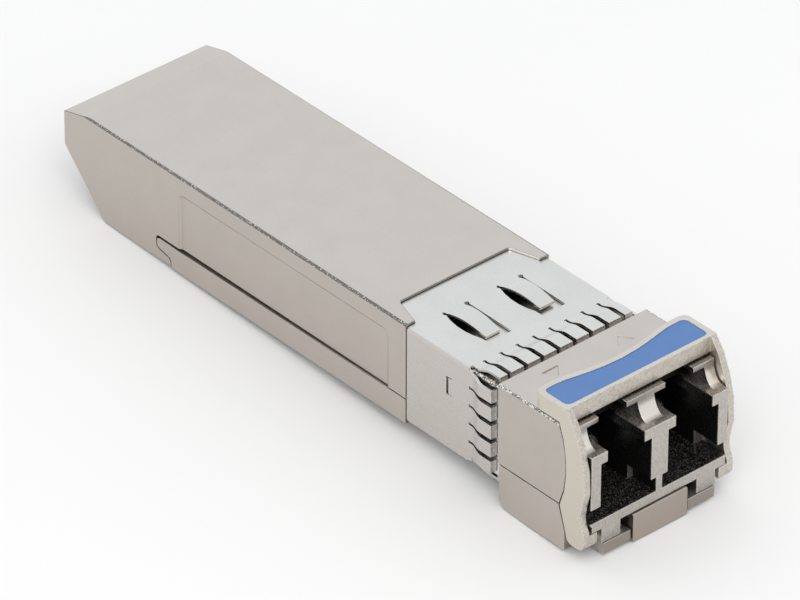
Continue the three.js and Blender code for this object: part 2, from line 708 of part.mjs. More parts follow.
// Side view of one arm: a crescent that bulges forwards, with a waist above its rounded foot.
function bailArm() {
  const gap = 0.09;
  const shape = new THREE.Shape();
  shape.moveTo(-3, BAIL_TOP);
  shape.lineTo(-7.28, BAIL_TOP);
  shape.bezierCurveTo(-8.7, 8.9, -10.0, 5.0, -8.95, 2.4);
  shape.bezierCurveTo(-8.8, 1.9, -9.0, 1.3, -9.28, 0.8);
  shape.lineTo(-9.3, -0.1);
  shape.quadraticCurveTo(-9.2, -0.69, -8.7, -0.69);
  shape.lineTo(-8.1, -0.69);
  shape.quadraticCurveTo(-7.6, -0.66, -7.48, -0.1);
  shape.lineTo(-6.72 - gap, 2.1);
  shape.bezierCurveTo(-7.65 - gap, 4.3, -7.45 - gap, 7.0, -6.55 - gap, BAIL_BAR_BOTTOM);
  shape.lineTo(-3, BAIL_BAR_BOTTOM);
  return shape;
}

// The lug that turns inwards at the foot of an arm. Its top clears the receptacle's bar as it turns.
function bailLug() {
  const { y, z } = BAIL_AXIS;
  return outline([
    [y - 0.98, z - 0.5, 0.12],
    [y - 0.98, z + 0.45, 0.12],
    [y + 0.1, z + 0.45, 0.2],
    [y + 0.42, z + 0.1, 0.1],
    [y + 0.42, z - 0.4, 0.1],
    [y + 0.2, z - 0.5],
  ]);
}

const INLAY_CORNER = 0.5;
const INLAY_INSET = 0.44;
const INLAY_FRONT = -6.98;
const INLAY_GAP = 0.01;
const SOCKET_RADIUS = 0.37;

function bailLever() {
  const bar = alongZ(bailPlan(-7.28, 0, 0.7), BAIL_BAR_BOTTOM, BAIL_TOP);
  const armPlan = alongZ(bailPlan(-11, 0, 0.7), -2, BAIL_TOP);
  const arms = pairX(bailArm(), BAIL_INSIDE, BAIL_HALF_WIDTH).intersect(armPlan);
  const lugs = pairX(bailLug(), LUG_INSIDE, BAIL_INSIDE + 0.2);
  const pocketPlan = bailPlan(INLAY_FRONT, INLAY_INSET, INLAY_CORNER, INLAY_CORNER);
  const pocket = alongZ(pocketPlan, BAIL_TOP - 0.4, BAIL_TOP + 1);
  const sockets = join(
    rodX(SOCKET_RADIUS, BAIL_AXIS, [-6.72, -5]),
    rodX(SOCKET_RADIUS, BAIL_AXIS, [5, 6.72]),
  );
  return cut(join(bar, arms, lugs), pocket, sockets);
}

function bailInlay() {
  const plan = bailPlan(INLAY_FRONT + INLAY_GAP, INLAY_INSET + INLAY_GAP, INLAY_CORNER, INLAY_CORNER);
  return alongZ(plan, BAIL_TOP - 0.4 + INLAY_GAP, BAIL_TOP - 0.06);
}

// The cam's flank is an involute, so it pushes the latch lever's shelf down evenly as the bail turns.
const CAM_LIFT_PER_RADIAN = 0.255;
const CAM_BASE = 0.21;

function camOutline() {
  const steps = 8;
  const corners = [[0.3, -CAM_BASE]];
  for (let i = 0; i <= steps; i += 1) {
    const turn = (Math.PI / 2) * (i / steps);
    const reach = CAM_BASE + CAM_LIFT_PER_RADIAN * turn;
    corners.push([
      -reach * Math.sin(turn) - CAM_LIFT_PER_RADIAN * Math.cos(turn),
      -reach * Math.cos(turn) + CAM_LIFT_PER_RADIAN * Math.sin(turn),
    ]);
  }
  corners.push([-0.5, 0.34, 0.08], [0.2, 0.34, 0.15], [0.35, 0.1, 0.1]);
  return outline(corners.map(([u, v, setback]) => [u + BAIL_AXIS.y, v + BAIL_AXIS.z, setback]));
}

// The shaft is round in the bail's sockets and in the pillars, and a cam over the latch lever's shelf.
function bailCamShaft() {
  const radius = 0.35;
  const camHalfWidth = 2.45;
  return join(
    rodX(radius, BAIL_AXIS, [-6.65, -camHalfWidth]),
    rodX(radius, BAIL_AXIS, [camHalfWidth, 6.65]),
    alongX(camOutline(), -camHalfWidth - 0.02, camHalfWidth + 0.02),
  );
}

// ---------------------------------------------------------------- latch
function latchLever() {
  const { y, z } = LATCH_AXIS;
  const plateSide = outline([
    [PLATE_FRONT, PLATE_BOTTOM, 0.1],
    [PLATE_BACK, PLATE_BOTTOM],
    [PLATE_BACK, PLATE_TOP],
    [PLATE_FRONT, PLATE_TOP, 0.1],
  ]);
  const plateFace = outline([
    [-PLATE_HALF_WIDTH, PLATE_BOTTOM, 0.22],
    [PLATE_HALF_WIDTH, PLATE_BOTTOM, 0.22],
    [PLATE_HALF_WIDTH, PLATE_TOP, 0.12],
    [-PLATE_HALF_WIDTH, PLATE_TOP, 0.12],
  ]);
  const plateBlank = alongX(plateSide, -PLATE_HALF_WIDTH, PLATE_HALF_WIDTH);
  const plate = plateBlank.intersect(alongY(plateFace, -10, -8));
  const beam = outline([
    [PLATE_BACK - 0.1, -1.3],
    [PLATE_BACK - 0.1, -0.19],
    [-7.7, -0.19],
    [-7.3, -0.5],
    [y, z + 0.1],
    [y, -1.3],
  ]);
  const arm = outline([
    [y, -0.93],
    [-1.9, -0.75],
    [-0.9, 0.05],
    [LATCH_SHOULDER, 0.05],
    [LATCH_SHOULDER, BOSS_BOTTOM],
    [2.5, BOSS_BOTTOM],
    [4.7, 0.05],
    [5.0, 0.05],
    [5.0, 1.0],
    [1.6, 1.0],
    [1.0, 0.6],
    [y, 0.42],
  ]);
  const hubSpan = [-2.35, 2.35];
  const body = join(
    plate,
    alongX(beam, ...hubSpan),
    rodX(0.7, LATCH_AXIS, hubSpan),
    alongX(arm, -BOSS_HALF_WIDTH, BOSS_HALF_WIDTH),
  );
  return cut(body, rodX(0.36, LATCH_AXIS, [-3, 3]));
}

function latchPivotPin() {
  return rodX(0.3, LATCH_AXIS, [-4.1, 4.1], 16);
}

// A leaf that lies on the tray behind the lever, arches up and presses down on the lever's arm.
function latchSpring() {
  const leaf = outline([
    [8.6, 1.03],
    [6.5, 1.03, 0.3],
    [5.5, 1.68, 0.5],
    [3.2, 1.03],
    [3.2, 1.15],
    [5.5, 1.8, 0.5],
    [6.5, 1.15, 0.3],
    [8.6, 1.15],
  ]);
  return alongX(leaf, -1.0, 1.0);
}

// ---------------------------------------------------------------- optical subassemblies
const BARREL_PROFILE = [
  [0, -0.4], [1.05, -0.4], [1.05, -5.0], [1.3, -5.0], [1.45, -4.8], [1.45, 0.62],
  [2.2, 0.62], [2.2, 1.5], [1.9, 1.5], [1.9, 3.4], [0, 3.4],
];
const SLEEVE_PROFILE = [[0.66, -4.6], [1.0, -4.6], [1.0, -0.5], [0.66, -0.5], [0.66, -4.6]];
const CAN_PROFILE = [
  [0, 3.45], [1.9, 3.45], [1.9, 4.0], [2.25, 4.0], [2.25, 6.4], [2.55, 6.4], [2.55, 7.0], [0, 7.0],
];

function opticalCan(x) {
  const leads = [45, 135, 225, 315].map((degrees) => {
    const angle = THREE.MathUtils.degToRad(degrees);
    const place = { x: x + Math.cos(angle), z: OPTICAL_Z + Math.sin(angle) };
    return rodY(0.17, place, [6.9, 8.35], 8);
  });
  return join(turned(CAN_PROFILE, x), ...leads);
}

// The flexible circuit hangs behind the can's leads and bends back on to the board.
function flexCircuit(x) {
  const strip = outline([
    [8.4, 5.3],
    [8.4, BOARD_TOP + 0.03, 0.9],
    [13.0, BOARD_TOP + 0.03],
    [13.0, BOARD_TOP + 0.15],
    [8.52, BOARD_TOP + 0.15, 0.8],
    [8.52, 5.3],
  ]);
  return alongX(strip, x - 1.5, x + 1.5);
}

// The saddle that both cans sit in. A tunnel in its middle leaves room for the lever's arm and leaf.
function osaRetainer() {
  const block = box([-5.7, 5.7], [4.4, 6.2], [CORE_FLOOR + 0.03, 3.6]);
  const seats = [-1, 1].map((side) => rodY(2.31, { x: side * OPTICAL_X, z: OPTICAL_Z }, [4, 7], 28));
  return cut(block, ...seats, box([-1.4, 1.4], [4, 7], [0, 1.95]));
}

// ---------------------------------------------------------------- circuit board
function circuitBoard() {
  const plan = outline([
    [-BOARD_HALF_WIDTH, BOARD_FRONT],
    [BOARD_HALF_WIDTH, BOARD_FRONT],
    [BOARD_HALF_WIDTH, 37.0],
    [EDGE_HALF_WIDTH, 37.4],
    [EDGE_HALF_WIDTH, BOARD_REAR, 0.3],
    [-EDGE_HALF_WIDTH, BOARD_REAR, 0.3],
    [-EDGE_HALF_WIDTH, 37.4],
    [-BOARD_HALF_WIDTH, 37.0],
  ]);
  return alongZ(plan, BOARD_BOTTOM, BOARD_TOP);
}

// A package standing on the board with a hair's gap of solder, its top edges chamfered.
function boardPart(x, y, width, length, height, chamfer = 0.08) {
  const base = BOARD_TOP + 0.02;
  const section = outline([
    [x - width / 2, base],
    [x + width / 2, base],
    [x + width / 2, base + height - chamfer],
    [x + width / 2 - chamfer, base + height],
    [x - width / 2 + chamfer, base + height],
    [x - width / 2, base + height - chamfer],
  ]);
  return alongY(section, y - length / 2, y + length / 2);
}

// ---------------------------------------------------------------- assembly
const model = new THREE.Group();

function addPart(name, solid, material) {
  const mesh = new THREE.Mesh(toGeometry(solid), material);
  mesh.name = name;
  model.add(mesh);
}

addPart('top_housing', topHousing(), castNickel);
addPart('bottom_housing', bottomHousing(), castNickel);
addPart('lc_receptacle', lcReceptacle(), receptacleNickel);
addPart('emi_collar', emiCollar(), springSheet);
addPart('bail_lever', bailLever(), bailNickel);
addPart('bail_inlay', bailInlay(), blueInsert);
addPart('bail_cam_shaft', bailCamShaft(), steel);
addPart('latch_lever', latchLever(), leverNickel);
addPart('latch_pivot_pin', latchPivotPin(), steel);
addPart('latch_spring', latchSpring(), springSteel);
addPart('osa_retainer', osaRetainer(), retainerBlack);

[['tosa', -OPTICAL_X], ['rosa', OPTICAL_X]].forEach(([name, x]) => {
  addPart(`${name}_barrel`, turned(BARREL_PROFILE, x), steel);
  addPart(`${name}_sleeve`, turned(SLEEVE_PROFILE, x), ceramicWhite);
  addPart(`${name}_can`, opticalCan(x), goldPlate);
  addPart(`${name}_flex`, flexCircuit(x), flexAmber);
});

addPart('circuit_board', circuitBoard(), boardGreen);
addPart('ic_laser_driver', boardPart(0, 20, 5, 5, 0.85), chipBlack);
addPart('ic_receive_amplifier', boardPart(2.9, 15.4, 3, 3, 0.75), chipBlack);
addPart('ic_microcontroller', boardPart(0, 28.5, 5, 5, 0.85), chipBlack);
addPart('inductor_transmit', boardPart(-3.1, 15.4, 2.4, 2.0, 1.2, 0.2), chipBlack);
addPart('inductor_receive', boardPart(3.9, 24.6, 2.0, 2.4, 1.2, 0.2), chipBlack);
[[-3.9, 19.6], [-3.9, 23.4], [3.9, 30.4], [-3.9, 31.6]].forEach(([x, y], i) => {
  addPart(`capacitor_${i + 1}`, boardPart(x, y, 0.9, 1.6, 0.85, 0.05), capacitorTan);
});
addPart('thermal_pad', box([-2.5, 2.5], [17.5, 22.5], [4.15, 4.72]), padGrey);
addPart('absorber_sheet', box([-4.4, 4.4], [23.6, 33.4], [7.2, CAVITY_TOP - 0.03]), absorberBlack);

// The ground contacts reach further back than the others, so they touch first.
for (let number = 0; number < 10; number += 1) {
  const x = (number - 4.5) * CONTACT_PITCH;
  const width = [x - 0.27, x + 0.27];
  const length = [39.4, number % 3 === 0 ? 43.5 : 43.1];
  const label = String(number + 1).padStart(2, '0');
  const topPad = box(width, length, [BOARD_TOP + 0.01, BOARD_TOP + 0.07]);
  const bottomPad = box(width, length, [BOARD_BOTTOM - 0.07, BOARD_BOTTOM - 0.01]);
  addPart(`contact_top_${label}`, topPad, goldPlate);
  addPart(`contact_bottom_${label}`, bottomPad, goldPlate);
}

// The origin goes to the middle of the bottom of the bounding box.
model.position.set(0, -(PLATE_FRONT + BODY_REAR) / 2, -PLATE_BOTTOM);

export default model;
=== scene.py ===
import math

import bmesh
import bpy
from mathutils import Matrix, Vector


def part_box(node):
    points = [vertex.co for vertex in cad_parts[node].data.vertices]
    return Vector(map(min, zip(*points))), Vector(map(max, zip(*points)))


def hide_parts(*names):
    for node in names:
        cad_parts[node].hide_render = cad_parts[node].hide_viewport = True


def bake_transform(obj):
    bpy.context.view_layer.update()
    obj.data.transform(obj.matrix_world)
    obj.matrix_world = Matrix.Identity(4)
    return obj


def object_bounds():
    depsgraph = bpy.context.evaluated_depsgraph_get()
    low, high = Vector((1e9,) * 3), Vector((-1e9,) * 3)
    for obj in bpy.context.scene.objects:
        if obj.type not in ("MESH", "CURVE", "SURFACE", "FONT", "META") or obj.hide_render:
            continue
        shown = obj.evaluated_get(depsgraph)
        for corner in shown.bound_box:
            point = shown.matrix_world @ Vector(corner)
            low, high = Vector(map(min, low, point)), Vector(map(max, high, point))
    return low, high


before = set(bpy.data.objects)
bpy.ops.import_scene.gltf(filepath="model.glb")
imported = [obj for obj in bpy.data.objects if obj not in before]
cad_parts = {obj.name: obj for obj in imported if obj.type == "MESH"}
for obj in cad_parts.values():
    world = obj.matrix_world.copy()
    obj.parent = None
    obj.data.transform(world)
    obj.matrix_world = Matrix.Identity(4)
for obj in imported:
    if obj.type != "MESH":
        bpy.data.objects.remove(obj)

cad_low, cad_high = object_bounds()

MM = 0.001
CONTACTS = [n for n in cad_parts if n.startswith("contact_")]
CAPACITORS = [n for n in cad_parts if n.startswith("capacitor_")]

# Widths over which one finish passes into the next.
FADE, SOFT_FADE = 0.04 * MM, 0.1 * MM

# Landmarks of the CAD model that the housings' finish is tied to: the core inside the collar, the
# nose's rear and the shell's front, the cover's notch, the pockets under the tabs, the top edges and
# the nose's arrows.
CORE_HALF_WIDTH, CORE_TOP = 6.47 * MM, 9.885 * MM
NOSE_REAR, SHELL_FRONT = -19.3 * MM, -9.35 * MM
NOTCH_REAR, NOTCH_HALF_WIDTH = -6.85 * MM, 6.1 * MM
POCKET_FRONT, POCKET_OUTER = -13.0 * MM, 4.05 * MM
TOP_EDGE_LOW = 9.2 * MM
ARROWS_HALF_SPAN = 5.9 * MM

# The painted shade inside the pockets deepens between these two depths, and over this length from the front.
POCKET_SHADE_FROM, POCKET_SHADE_AT = 0.1 * MM, 0.3 * MM
POCKET_SHADE_LENGTH = 1.3 * MM


# ---------------------------------------------------------------- node helpers
class Surface:
    """A Principled material with short helpers for adding the nodes that drive it."""

    def __init__(self, name, color, roughness, metallic=0.0):
        self.material = bpy.data.materials.new(name)
        self.material.use_nodes = True
        self.tree = self.material.node_tree
        self.shader = self.tree.nodes["Principled BSDF"]
        self.shader.inputs["Base Color"].default_value = (*color, 1)
        self.shader.inputs["Roughness"].default_value = roughness
        self.shader.inputs["Metallic"].default_value = metallic
        spot = self.node("ShaderNodeTexCoord")
        self.place = spot.outputs["Object"]
        self.own_normal = spot.outputs["Normal"]

    def node(self, kind, **settings):
        made = self.tree.nodes.new(kind)
        for key, value in settings.items():
            setattr(made, key, value)
        return made

    def feed(self, target, value):
        if isinstance(value, bpy.types.NodeSocket):
            self.tree.links.new(value, target)
        else:
            target.default_value = value

    def math(self, operation, a, b=0.0):
        made = self.node("ShaderNodeMath", operation=operation)
        self.feed(made.inputs[0], a)
        self.feed(made.inputs[1], b)
        return made.outputs[0]

    def size(self, value):
        return self.math("ABSOLUTE", value)

    def without(self, mask):
        return self.math("SUBTRACT", 1.0, mask)

    def either(self, a, b):
        return self.math("MAXIMUM", a, b)

    def product(self, first, *others):
        for other in others:
            first = self.math("MULTIPLY", first, other)
        return first

    def total(self, first, *others):
        for other in others:
            first = self.math("ADD", first, other)
        return first

    def axes(self, vector):
        made = self.node("ShaderNodeSeparateXYZ")
        self.feed(made.inputs[0], vector)
        return made.outputs["X"], made.outputs["Y"], made.outputs["Z"]

    def stretched(self, scale):
        made = self.node("ShaderNodeMapping")
        self.feed(made.inputs["Vector"], self.place)
        made.inputs["Scale"].default_value = scale
        return made.outputs["Vector"]

    def noise(self, grain_mm, detail=2.0, rough=0.5, place=None):
        made = self.node("ShaderNodeTexNoise")
        self.feed(made.inputs["Vector"], place or self.place)
        made.inputs["Scale"].default_value = 1 / (grain_mm * MM)
        made.inputs["Detail"].default_value = detail
        made.inputs["Roughness"].default_value = rough
        return made.outputs["Fac"]

    def ramp(self, value, low, high, to_low=0.0, to_high=1.0, smooth=False):
        made = self.node("ShaderNodeMapRange")
        if smooth:
            made.interpolation_type = "SMOOTHSTEP"
        self.feed(made.inputs["Value"], value)
        made.inputs["From Min"].default_value = low
        made.inputs["From Max"].default_value = high
        made.inputs["To Min"].default_value = to_low
        made.inputs["To Max"].default_value = to_high
        return made.outputs["Result"]

    def spread(self, noise, to_low=0.0, to_high=1.0):
        """The middle of a noise's range, where most of its values lie, stretched over the given one."""
        return self.ramp(noise, 0.3, 0.7, to_low, to_high)

    def mix(self, share, a, b):
        made = self.node("ShaderNodeMix", data_type="RGBA")
        self.feed(made.inputs["Factor"], share)
        self.feed(made.inputs["A"], a if isinstance(a, bpy.types.NodeSocket) else (*a, 1))
        self.feed(made.inputs["B"], b if isinstance(b, bpy.types.NodeSocket) else (*b, 1))
        return made.outputs["Result"]

    def shades(self, share, color, darkest, brightest):
        """One colour between two brightnesses."""
        return self.mix(share, scaled(color, darkest), scaled(color, brightest))

    def rounded(self, radius_mm):
        made = self.node("ShaderNodeBevel", samples=4)
        made.inputs["Radius"].default_value = radius_mm * MM
        return made.outputs["Normal"]

    def edges(self, radius_mm, width):
        """1 within about the radius of an edge, 0 on open faces."""
        rounded = self.rounded(radius_mm)
        facing = self.node("ShaderNodeVectorMath", operation="DOT_PRODUCT")
        self.feed(facing.inputs[0], rounded)
        self.feed(facing.inputs[1], self.node("ShaderNodeNewGeometry").outputs["Normal"])
        return self.ramp(facing.outputs["Value"], 1.0, 1.0 - width)

    def shut_in(self, reach_mm):
        """1 in narrow slots and under overhangs, 0 on open faces: ambient occlusion, used for painted shade.
        """
        made = self.node("ShaderNodeAmbientOcclusion", samples=6)
        made.inputs["Distance"].default_value = reach_mm * MM
        return self.ramp(made.outputs["AO"], 0.42, 0.20)

    def bump(self, height, depth_mm, normal):
        made = self.node("ShaderNodeBump")
        self.feed(made.inputs["Height"], height)
        self.feed(made.inputs["Normal"], normal)
        made.inputs["Distance"].default_value = depth_mm * MM
        made.inputs["Strength"].default_value = 1.0
        return made.outputs["Normal"]

    def drive(self, name, value):
        self.feed(self.shader.inputs[name], value)


def scaled(color, factor):
    return tuple(min(1.0, c * factor) for c in color)


def tinted(color, tint):
    return tuple(c * t for c, t in zip(color, tint))


# ---------------------------------------------------------------- the housings' casting
CAST_SIDE_SHADE = (0.88, 0.855, 0.835)
CAST_FRONT_SHADE = (0.58, 0.55, 0.525)
WINDOW_FLOOR_LIT = (0.72, 0.72, 0.70)


def under_collar(s, plate, color, corner):
    """The housings' core inside the collar: painted light in the open windows, painted shade where the sheet
    and the tabs shut it in.
    """
    x, y, z = s.axes(s.place)
    core = s.product(
        s.ramp(y, NOSE_REAR, NOSE_REAR + FADE),
        s.ramp(y, SHELL_FRONT, SHELL_FRONT - FADE),
        s.ramp(s.size(x), CORE_HALF_WIDTH + FADE, CORE_HALF_WIDTH),
        s.ramp(z, CORE_TOP + FADE, CORE_TOP),
    )
    tab_pocket_shade = s.product(
        s.ramp(s.size(x), POCKET_OUTER + FADE, POCKET_OUTER),
        s.ramp(z, CORE_TOP - POCKET_SHADE_FROM, CORE_TOP - POCKET_SHADE_AT),
        s.ramp(y, POCKET_FRONT, POCKET_FRONT + POCKET_SHADE_LENGTH, 0.45, 1.0),
    )
    core_faces = s.product(core, s.without(corner))
    painted_shade = s.product(core_faces, s.either(s.shut_in(0.8), tab_pocket_shade))
    # Painted light on the core's faces in the windows, painted shade in the slots and the pockets under the
    # tabs.
    return s.mix(painted_shade, s.mix(core_faces, plate, WINDOW_FLOOR_LIT), scaled(color, 0.08))


def notch_wall(s, sideways):
    """The slanted walls of the cover's notch, where a painted highlight goes."""
    x, y, z = s.axes(s.place)
    return s.product(
        s.ramp(y, NOTCH_REAR, NOTCH_REAR - 0.5 * SOFT_FADE),
        s.ramp(y, SHELL_FRONT, SHELL_FRONT + SOFT_FADE),
        s.ramp(s.size(x), NOTCH_HALF_WIDTH, NOTCH_HALF_WIDTH - SOFT_FADE),
        s.ramp(z, CORE_TOP, CORE_TOP + SOFT_FADE),
        s.ramp(sideways, 0.45, 0.7),
    )


def round_the_arrows(s):
    """The middle of the nose's roof, where the arrows' own edges get no painted glints or grit."""
    x, y, _ = s.axes(s.place)
    return s.product(
        s.ramp(y, NOSE_REAR + 3 * SOFT_FADE, NOSE_REAR),
        s.ramp(s.size(x), ARROWS_HALF_SPAN, ARROWS_HALF_SPAN - 2 * SOFT_FADE),
    )


def cast_metal(name, color, roughness, front_shade=CAST_FRONT_SHADE):
    """Nickel plate over a die casting: faint mottling, fine grain, painted shade on sides and fronts,
    painted glints and grit on trimmed edges.
    """
    s = Surface(name, color, roughness, 1.0)
    _, y, z = s.axes(s.place)
    across, along, upward = s.axes(s.own_normal)
    sideways = s.size(across)
    shaded_side = s.ramp(sideways, 0.55, 0.85)
    shaded_front = s.ramp(along, -0.55, -0.85)
    corner = s.ramp(s.product(sideways, upward), 0.03, 0.15)
    notch_highlight = notch_wall(s, sideways)

    clouds = s.noise(2.6, 3.0, 0.55)
    crystals = s.noise(0.22, 3.0, 0.65)
    mottle = s.ramp(s.total(s.product(clouds, 0.6), s.product(crystals, 0.4)), 0.35, 0.65)
    # Painted shade: the sides and the front faces are darker and warmer than the top.
    shaded_side_plate = s.shades(mottle, tinted(color, CAST_SIDE_SHADE), 0.97, 1.03)
    plate = s.mix(shaded_side, s.shades(mottle, color, 0.965, 1.035), shaded_side_plate)
    plate = s.mix(shaded_front, plate, tinted(color, front_shade))
    # Painted shade as a dark line along the side faces' edges.
    panel_edge_shade = s.product(s.edges(0.07, 0.035), shaded_side, 0.4)
    plate = s.mix(panel_edge_shade, plate, scaled(color, 0.30))

    top_edge = s.product(s.edges(0.13, 0.14), s.ramp(z, TOP_EDGE_LOW, CORE_TOP, 0.25, 1.0))
    calm = s.either(notch_highlight, round_the_arrows(s))
    edge = s.product(s.either(top_edge, corner), s.without(calm))
    grit = s.noise(0.11, 2.0, 0.6)
    fewer_at_rear = s.ramp(y, SHELL_FRONT - SOFT_FADE, SHELL_FRONT, 0.0, 0.10)
    glints = s.ramp(s.math("SUBTRACT", grit, fewer_at_rear), 0.47, 0.58)
    # Painted glints and dark grit along the top edges and the rounded corners; the grit is bumped as well.
    plate = s.mix(s.product(edge, 0.95), plate, s.shades(glints, color, 0.26, 1.6))
    # Painted highlight on the notch walls.
    plate = s.mix(notch_highlight, plate, scaled(color, 1.6))

    s.drive("Base Color", under_collar(s, plate, color, corner))
    s.drive("Roughness", s.spread(clouds, roughness * 0.92, roughness * 1.1))
    grain = s.noise(0.05, 3.0, 0.6)
    height = s.total(s.product(grain, 0.5), s.product(edge, grit, 5.0))
    s.drive("Normal", s.bump(height, 0.004, s.rounded(0.05)))
    return s.material


# ---------------------------------------------------------------- the collar's sheet
SHEET_SIDE_SHADE = (0.85, 0.80, 0.775)
SHEET_DROP_REFLECTION_TINT = (1.05, 0.96, 0.89)


def sheet_metal(name, color, roughness):
    """Rolled spring sheet: long faint rolling lines, a bright plate, painted shade on sides and in slots,
    painted reflections and highlights on drops and cut edges.
    """
    s = Surface(name, color, roughness, 1.0)
    x, _, _ = s.axes(s.place)
    across, along, _ = s.axes(s.own_normal)
    shaded_side = s.ramp(s.size(across), 0.4, 0.8)
    drop = s.ramp(along, -0.45, -0.75)
    beyond_core = s.ramp(s.size(x), CORE_HALF_WIDTH - SOFT_FADE, CORE_HALF_WIDTH + SOFT_FADE)
    # Painted reflection on the fingers' drop faces inside the core's width, a painted highlight beyond it.
    drop_reflection_and_highlight = s.mix(beyond_core, tinted(color, SHEET_DROP_REFLECTION_TINT), scaled(color, 1.5))
    plate = s.shades(s.spread(s.noise(2.4, 2.0)), color, 0.97, 1.02)
    # Painted shade on the sides.
    plate = s.mix(shaded_side, plate, tinted(color, SHEET_SIDE_SHADE))
    plate = s.mix(drop, plate, drop_reflection_and_highlight)
    # Painted highlight along the cut edges.
    plate = s.mix(s.product(s.edges(0.05, 0.2), 0.5), plate, scaled(color, 1.35))
    # Painted shade in the slots and under the tabs.
    painted_shade = s.product(s.shut_in(0.6), s.without(drop))
    lines = s.noise(0.12, 2.0, 0.5, s.stretched((1.0, 0.05, 1.0)))
    s.drive("Base Color", s.mix(painted_shade, plate, scaled(color, 0.12)))
    s.drive("Roughness", s.spread(lines, roughness * 0.8, roughness * 1.2))
    s.drive("Normal", s.bump(lines, 0.0012, s.rounded(0.03)))
    return s.material


# ---------------------------------------------------------------- the port block's plate
face_low, face_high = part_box("lc_receptacle")
FACE_HEIGHT = face_high.z - face_low.z

# Heights above the block's lowest face: just under the ports' floor, at the shoulders' tops and just
# under the caps, then where the caps' and the feet's shades start and end.
PORT_FLOOR_UP, SHOULDER_UP, CAP_UP = 1.95 * MM, 7.64 * MM, 9.0 * MM
CAP_SHADE_FROM, CAP_SHADE_AT = SHOULDER_UP + 0.2 * MM, FACE_HEIGHT - 0.3 * MM
FOOT_SHADE_TOP = 0.9 * MM

# Depths behind the front face: where the front rims end, where the ports' painted shade turns black, and
# where the shoulders' tops do.
RIM_FROM, RIM_AT = 0.03 * MM, 0.12 * MM
PORT_SHADE_FROM, PORT_SHADE_AT = 1.3 * MM, 3.4 * MM
LEDGE_FROM, LEDGE_AT = 0.7 * MM, 2.0 * MM

# The block's outer sides get no painted shade: going in from the side, the painted shade starts and is full
# here.
SKIN_FROM, SKIN_AT = 0.02 * MM, 0.08 * MM

PORT_SHADE_BLACK = (0.008, 0.0075, 0.007)
PORT_SPECK = (0.34, 0.32, 0.29)


def receptacle_metal(name, color, roughness):
    """The port block: a drawn chrome-like plate, painted highlights on rims and shoulders, painted shade at
    caps and feet and, near black, in the ports.
    """
    s = Surface(name, color, roughness, 1.0)
    x, y, z = s.axes(s.place)
    _, facing, upward = s.axes(s.own_normal)
    depth = s.math("SUBTRACT", y, face_low.y)
    rise = s.math("SUBTRACT", z, face_low.z)

    # Painted shade inside the ports: on their inner walls, deeper in, and on the shoulders' tops under the
    # caps.
    in_port = s.product(
        s.ramp(depth, RIM_FROM, RIM_AT),
        s.ramp(rise, PORT_FLOOR_UP, PORT_FLOOR_UP + 0.5 * SOFT_FADE),
        s.ramp(rise, SHOULDER_UP, SHOULDER_UP - SOFT_FADE),
        s.ramp(facing, -0.7, -0.4),
    )
    deep = s.ramp(depth, PORT_SHADE_FROM, PORT_SHADE_AT, smooth=True)
    ledge = s.product(s.ramp(upward, 0.85, 0.97), s.ramp(depth, LEDGE_FROM, LEDGE_AT), 0.8)
    below_caps = s.product(
        s.ramp(rise, CAP_UP, CAP_UP - SOFT_FADE),
        s.ramp(s.size(x), face_high.x - SKIN_FROM, face_high.x - SKIN_AT),
    )
    painted_shade = s.either(in_port, s.product(s.either(deep, ledge), below_caps))

    drawn = s.noise(0.14, 3.0, 0.6, s.stretched((1.0, 0.6, 0.5)))
    plate = s.shades(s.ramp(drawn, 0.3, 0.68), color, 0.86, 1.12)
    cap_shade = s.ramp(rise, CAP_SHADE_FROM, CAP_SHADE_AT, 1.0, 0.66)
    foot_shade = s.ramp(rise, 0.0, FOOT_SHADE_TOP, 0.70, 1.0)
    plate = s.mix(s.product(cap_shade, foot_shade), scaled(color, 0.05), plate)
    # Painted highlight on the shoulders' sloping tops.
    scoop_highlight = s.product(
        s.ramp(upward, 0.12, 0.3),
        s.ramp(upward, 0.97, 0.8),
        s.ramp(rise, SHOULDER_UP, SHOULDER_UP + SOFT_FADE),
    )
    plate = s.mix(s.product(scoop_highlight, 0.7), plate, scaled(color, 1.7))
    # Painted highlight along the rims.
    edge = s.product(s.edges(0.10, 0.16), s.ramp(s.noise(0.06, 2.0), 0.3, 0.5))
    plate = s.mix(s.product(edge, 0.9), plate, scaled(color, 1.9))

    # The ports' painted shade, near black, with lighter specks of the rough floor on upward faces.
    speck = s.product(s.ramp(s.noise(0.10, 1.0), 0.57, 0.67), s.ramp(upward, 0.5, 0.9))
    port_shade = s.mix(s.product(speck, 0.6), PORT_SHADE_BLACK, PORT_SPECK)
    s.drive("Base Color", s.mix(painted_shade, plate, port_shade))
    s.drive("Metallic", s.ramp(painted_shade, 0.0, 1.0, 1.0, 0.3))
    s.drive("Roughness", s.spread(drawn, roughness * 0.7, roughness * 1.3))
    height = s.total(s.product(drawn, 0.5), s.product(speck, painted_shade, 1.5))
    s.drive("Normal", s.bump(height, 0.006, s.rounded(0.08)))
    return s.material


# ---------------------------------------------------------------- the bail's plate
BAIL_SIDE_SHADE = (0.96, 0.93, 0.89)
PIT_TINT, RUBBED_TINT = (0.72, 0.68, 0.65), (0.98, 0.95, 0.93)


